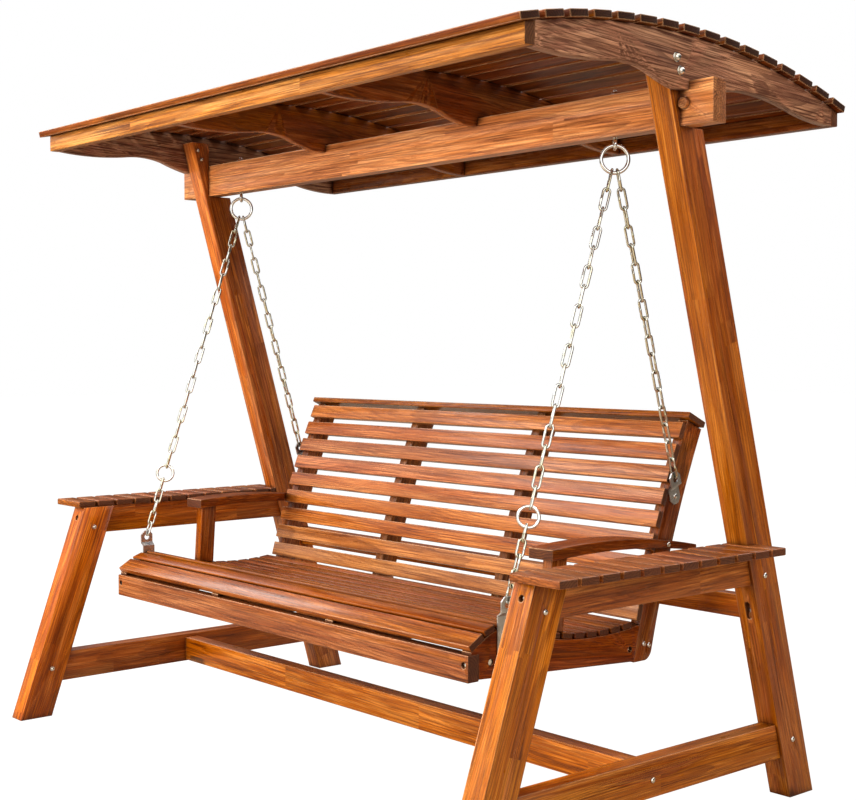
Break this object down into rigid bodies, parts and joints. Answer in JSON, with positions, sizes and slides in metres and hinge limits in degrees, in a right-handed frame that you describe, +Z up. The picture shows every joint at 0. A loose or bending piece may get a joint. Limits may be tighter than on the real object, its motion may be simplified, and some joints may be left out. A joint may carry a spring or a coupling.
{
  "type": "garden swing seat",
  "caption": "Free-standing wooden swing: two leaning side frames with slatted side tables, a roof of curved slats, and a slatted bench hung on chains.",
  "frame": {"origin": "on the floor, at the middle of the footprint", "axes": "+X along the bench, to the right as seen from the front, -Y the open front of the bench, +Z up"},
  "size_m": [2.17, 1.2367, 1.8014],
  "materials": {
    "wood": "varnished hardwood",
    "wood_slat": "varnished hardwood slats",
    "wood_dark": "darker varnished hardwood",
    "wood_peg": "varnished hardwood dowel",
    "zinc_steel": "bright zinc plate",
    "bracket_steel": "dull zinc plate"
  },
  "bodies": {
    "frame": {"front_leg_right": "wood", "front_leg_left": "wood", "rear_post_right": "wood", "rear_post_left": "wood", "tray_rail_right": "wood", "tray_rail_left": "wood", "foot_rail_right": "wood", "foot_rail_left": "wood", "centre_stretcher": "wood", "rear_cross_rail": "wood", "top_beam": "wood", "beam_pegs": "wood_peg", "roof_rafter_end_right": "wood_dark", "roof_rafter_end_left": "wood_dark", "roof_rafter_inner_right": "wood_slat", "roof_rafter_inner_left": "wood_slat", "front_fascia": "wood_slat", "rear_fascia": "wood_slat", "roof_slats": "wood_slat", "tray_slats_right": "wood_slat", "tray_slats_left": "wood_slat", "hanger_eye_bolts": "zinc_steel", "hanger_washers": "zinc_steel", "hanger_nuts": "zinc_steel", "frame_bolts": "zinc_steel", "rafter_bolts": "zinc_steel", "stretcher_bolts": "zinc_steel", "frame_washers": "zinc_steel", "frame_nuts": "zinc_steel", "stretcher_nuts": "zinc_steel"},
    "bench": {"hanger_rings": "zinc_steel", "chain_front_right": "zinc_steel", "chain_front_left": "zinc_steel", "chain_mid_rings": "zinc_steel", "chain_rear_right": "zinc_steel", "chain_rear_left": "zinc_steel", "seat_side_right": "wood", "seat_side_left": "wood", "seat_bearers_inner": "wood", "front_seat_rail": "wood", "rear_seat_rail": "wood", "seat_slats": "wood", "seat_nose_slat": "wood", "back_upright_right": "wood", "back_upright_left": "wood", "back_uprights_inner": "wood", "back_slats": "wood", "back_cap": "wood", "armrest_right": "wood", "armrest_left": "wood", "arm_post_right": "wood", "arm_post_left": "wood", "front_brackets": "bracket_steel", "rear_brackets": "bracket_steel", "bracket_screws": "zinc_steel", "bench_screws": "zinc_steel", "bench_barrel_nuts": "zinc_steel"}
  },
  "joints": [
    {"name": "swing", "type": "hinge", "parent": "frame", "child": "bench", "pos_m": [0, 0.0637, 1.5617], "axis": [1, 0, 0], "range_deg": [-14, 6]}
  ]
}
